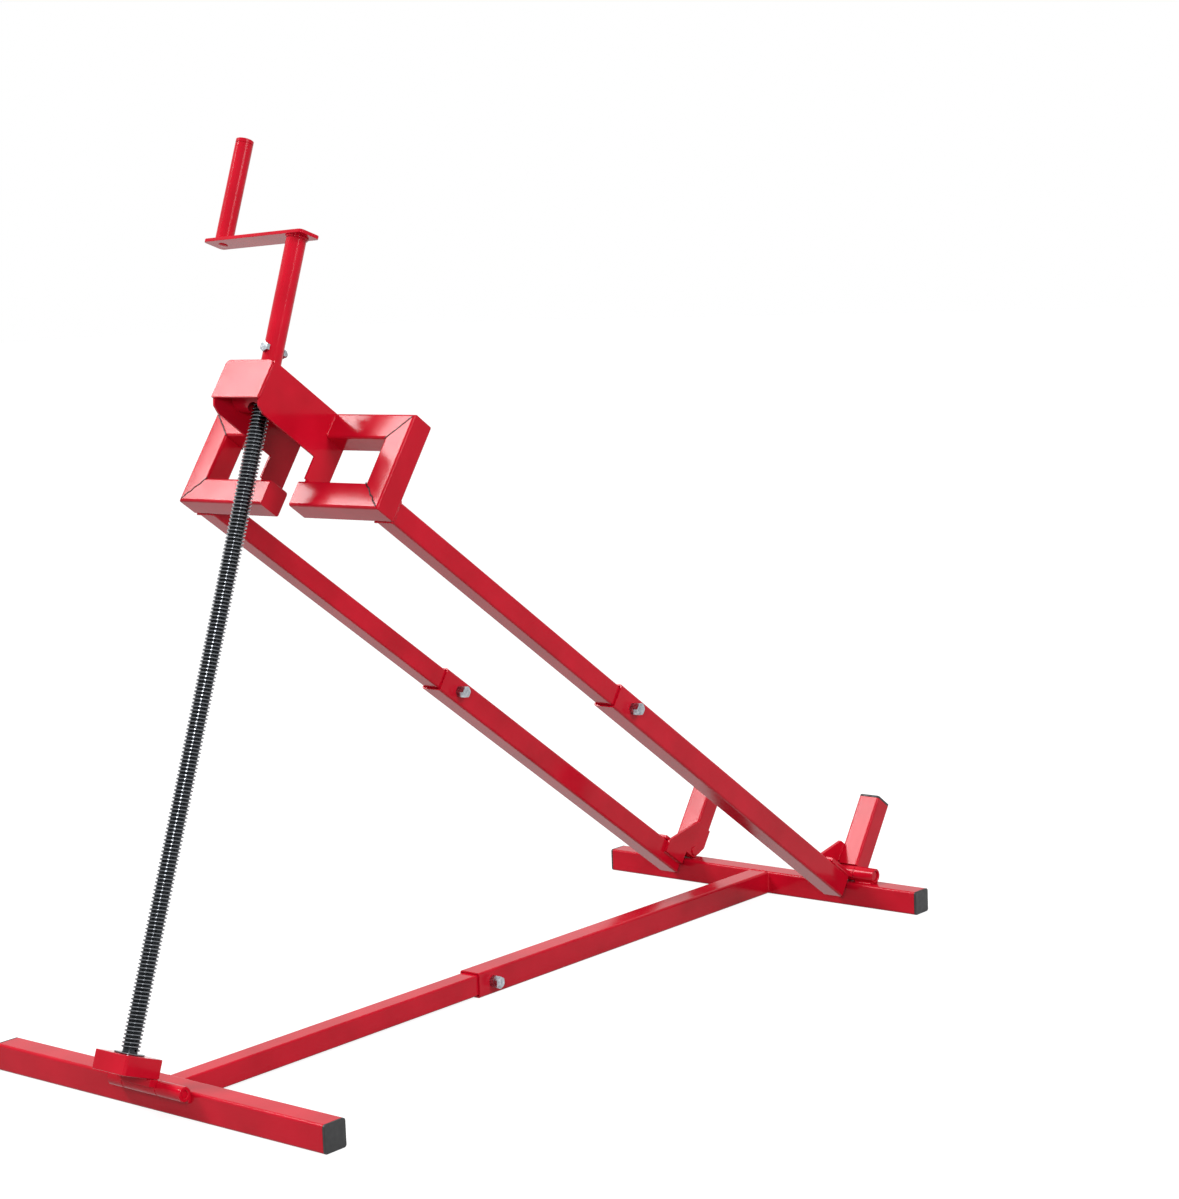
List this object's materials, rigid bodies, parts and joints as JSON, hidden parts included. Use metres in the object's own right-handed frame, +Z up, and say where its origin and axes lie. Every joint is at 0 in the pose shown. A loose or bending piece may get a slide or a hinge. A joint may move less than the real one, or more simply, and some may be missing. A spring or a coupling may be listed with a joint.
{
  "type": "lawn mower lift",
  "caption": "Free-standing tilting lift: telescoping floor frame, hinged twin rails with a square wheel cradle, and a leaning lead screw turned by a hand crank.",
  "frame": {"origin": "on the floor, midway across, under the middle of the front foot bar", "axes": "+Z up, +Y from the front foot towards the rear hinge, +X to the right seen from the front"},
  "size_m": [0.5, 1.2282, 0.998],
  "materials": {
    "red_paint": "gloss powder coat",
    "black_plastic": "moulded",
    "zinc_plate": "bright zinc plate",
    "dark_steel": "oiled black steel"
  },
  "bodies": {
    "floor_frame": {"rear_bar": "red_paint", "rear_plug_right": "black_plastic", "rear_plug_left": "black_plastic", "base_sleeve": "red_paint", "base_weld_nut": "zinc_plate", "base_clamp_bolt": "zinc_plate", "hinge_barrel_right": "red_paint", "hinge_barrel_left": "red_paint", "hinge_pin_right": "red_paint", "hinge_pin_left": "red_paint"},
    "front_foot": {"foot_bar": "red_paint", "foot_plug_right": "black_plastic", "foot_plug_left": "black_plastic", "base_slider": "red_paint", "swivel_barrel_right": "red_paint", "swivel_barrel_left": "red_paint", "swivel_pin": "red_paint"},
    "swivel": {"swivel_block": "red_paint", "swivel_barrel_moving": "red_paint", "thrust_washer": "dark_steel"},
    "screw": {"lead_screw": "dark_steel", "screw_collar": "dark_steel", "crank_tube": "red_paint", "crank_arm": "red_paint", "grip_spindle": "dark_steel", "crank_bolt": "zinc_plate", "crank_nut": "zinc_plate"},
    "grip": {"crank_grip": "red_paint"},
    "lift_frame": {"rail_sleeve_right": "red_paint", "rail_sleeve_left": "red_paint", "rail_weld_nut_right": "zinc_plate", "rail_weld_nut_left": "zinc_plate", "rail_clamp_bolt_right": "zinc_plate", "rail_clamp_bolt_left": "zinc_plate", "lift_leaf_right": "red_paint", "lift_leaf_left": "red_paint", "hinge_lug_right": "red_paint", "hinge_lug_left": "red_paint", "wheel_stop_right": "red_paint", "wheel_stop_left": "red_paint", "stop_plug_right": "black_plastic", "stop_plug_left": "black_plastic"},
    "head": {"rail_slider_right": "red_paint", "rail_slider_left": "red_paint", "outer_post_right": "red_paint", "outer_post_left": "red_paint", "top_member_right": "red_paint", "top_member_left": "red_paint", "bottom_member_right": "red_paint", "bottom_member_left": "red_paint", "nose_cheek_right": "red_paint", "nose_cheek_left": "red_paint", "nose_top": "red_paint", "nose_end": "red_paint"},
    "lifting_nut": {"lifting_nut": "red_paint"}
  },
  "joints": [
    {"name": "foot_slide", "type": "slide", "parent": "floor_frame", "child": "front_foot", "axis": [0, 1, 0], "range_m": [0, 0.3]},
    {"name": "lift_hinge", "type": "hinge", "parent": "floor_frame", "child": "lift_frame", "pos_m": [0, 1.074, 0.0403], "axis": [-1, 0, 0], "range_deg": [-26, 0]},
    {"name": "head_slide", "type": "slide", "parent": "lift_frame", "child": "head", "axis": [0, 0.8192, -0.5736], "range_m": [0, 0.2925]},
    {"name": "nut_turn", "type": "hinge", "parent": "head", "child": "lifting_nut", "pos_m": [0, 0.19707, 0.71965], "axis": [-1, 0, 0], "range_deg": [0, 14.8]},
    {"name": "swivel_tilt", "type": "hinge", "parent": "front_foot", "child": "swivel", "pos_m": [0, -0.0235, 0.03], "axis": [-1, 0, 0], "range_deg": [-11.5, 0]},
    {"name": "screw_turn", "type": "hinge", "parent": "swivel", "child": "screw", "pos_m": [0, -0.04982, 0.03955], "axis": [0, 0.3412, 0.94], "continuous": true},
    {"name": "grip_turn", "type": "hinge", "parent": "screw", "child": "grip", "pos_m": [-0.12641, -0.03838, 0.0354], "axis": [0, 0.3412, 0.94], "continuous": true}
  ],
  "couplings": [
    {"joint": "head_slide", "follows": "foot_slide", "ratio": 0.9734},
    {"joint": "nut_turn", "follows": "lift_hinge", "ratio": -0.565},
    {"joint": "swivel_tilt", "follows": "lift_hinge", "ratio": 0.435}
  ]
}
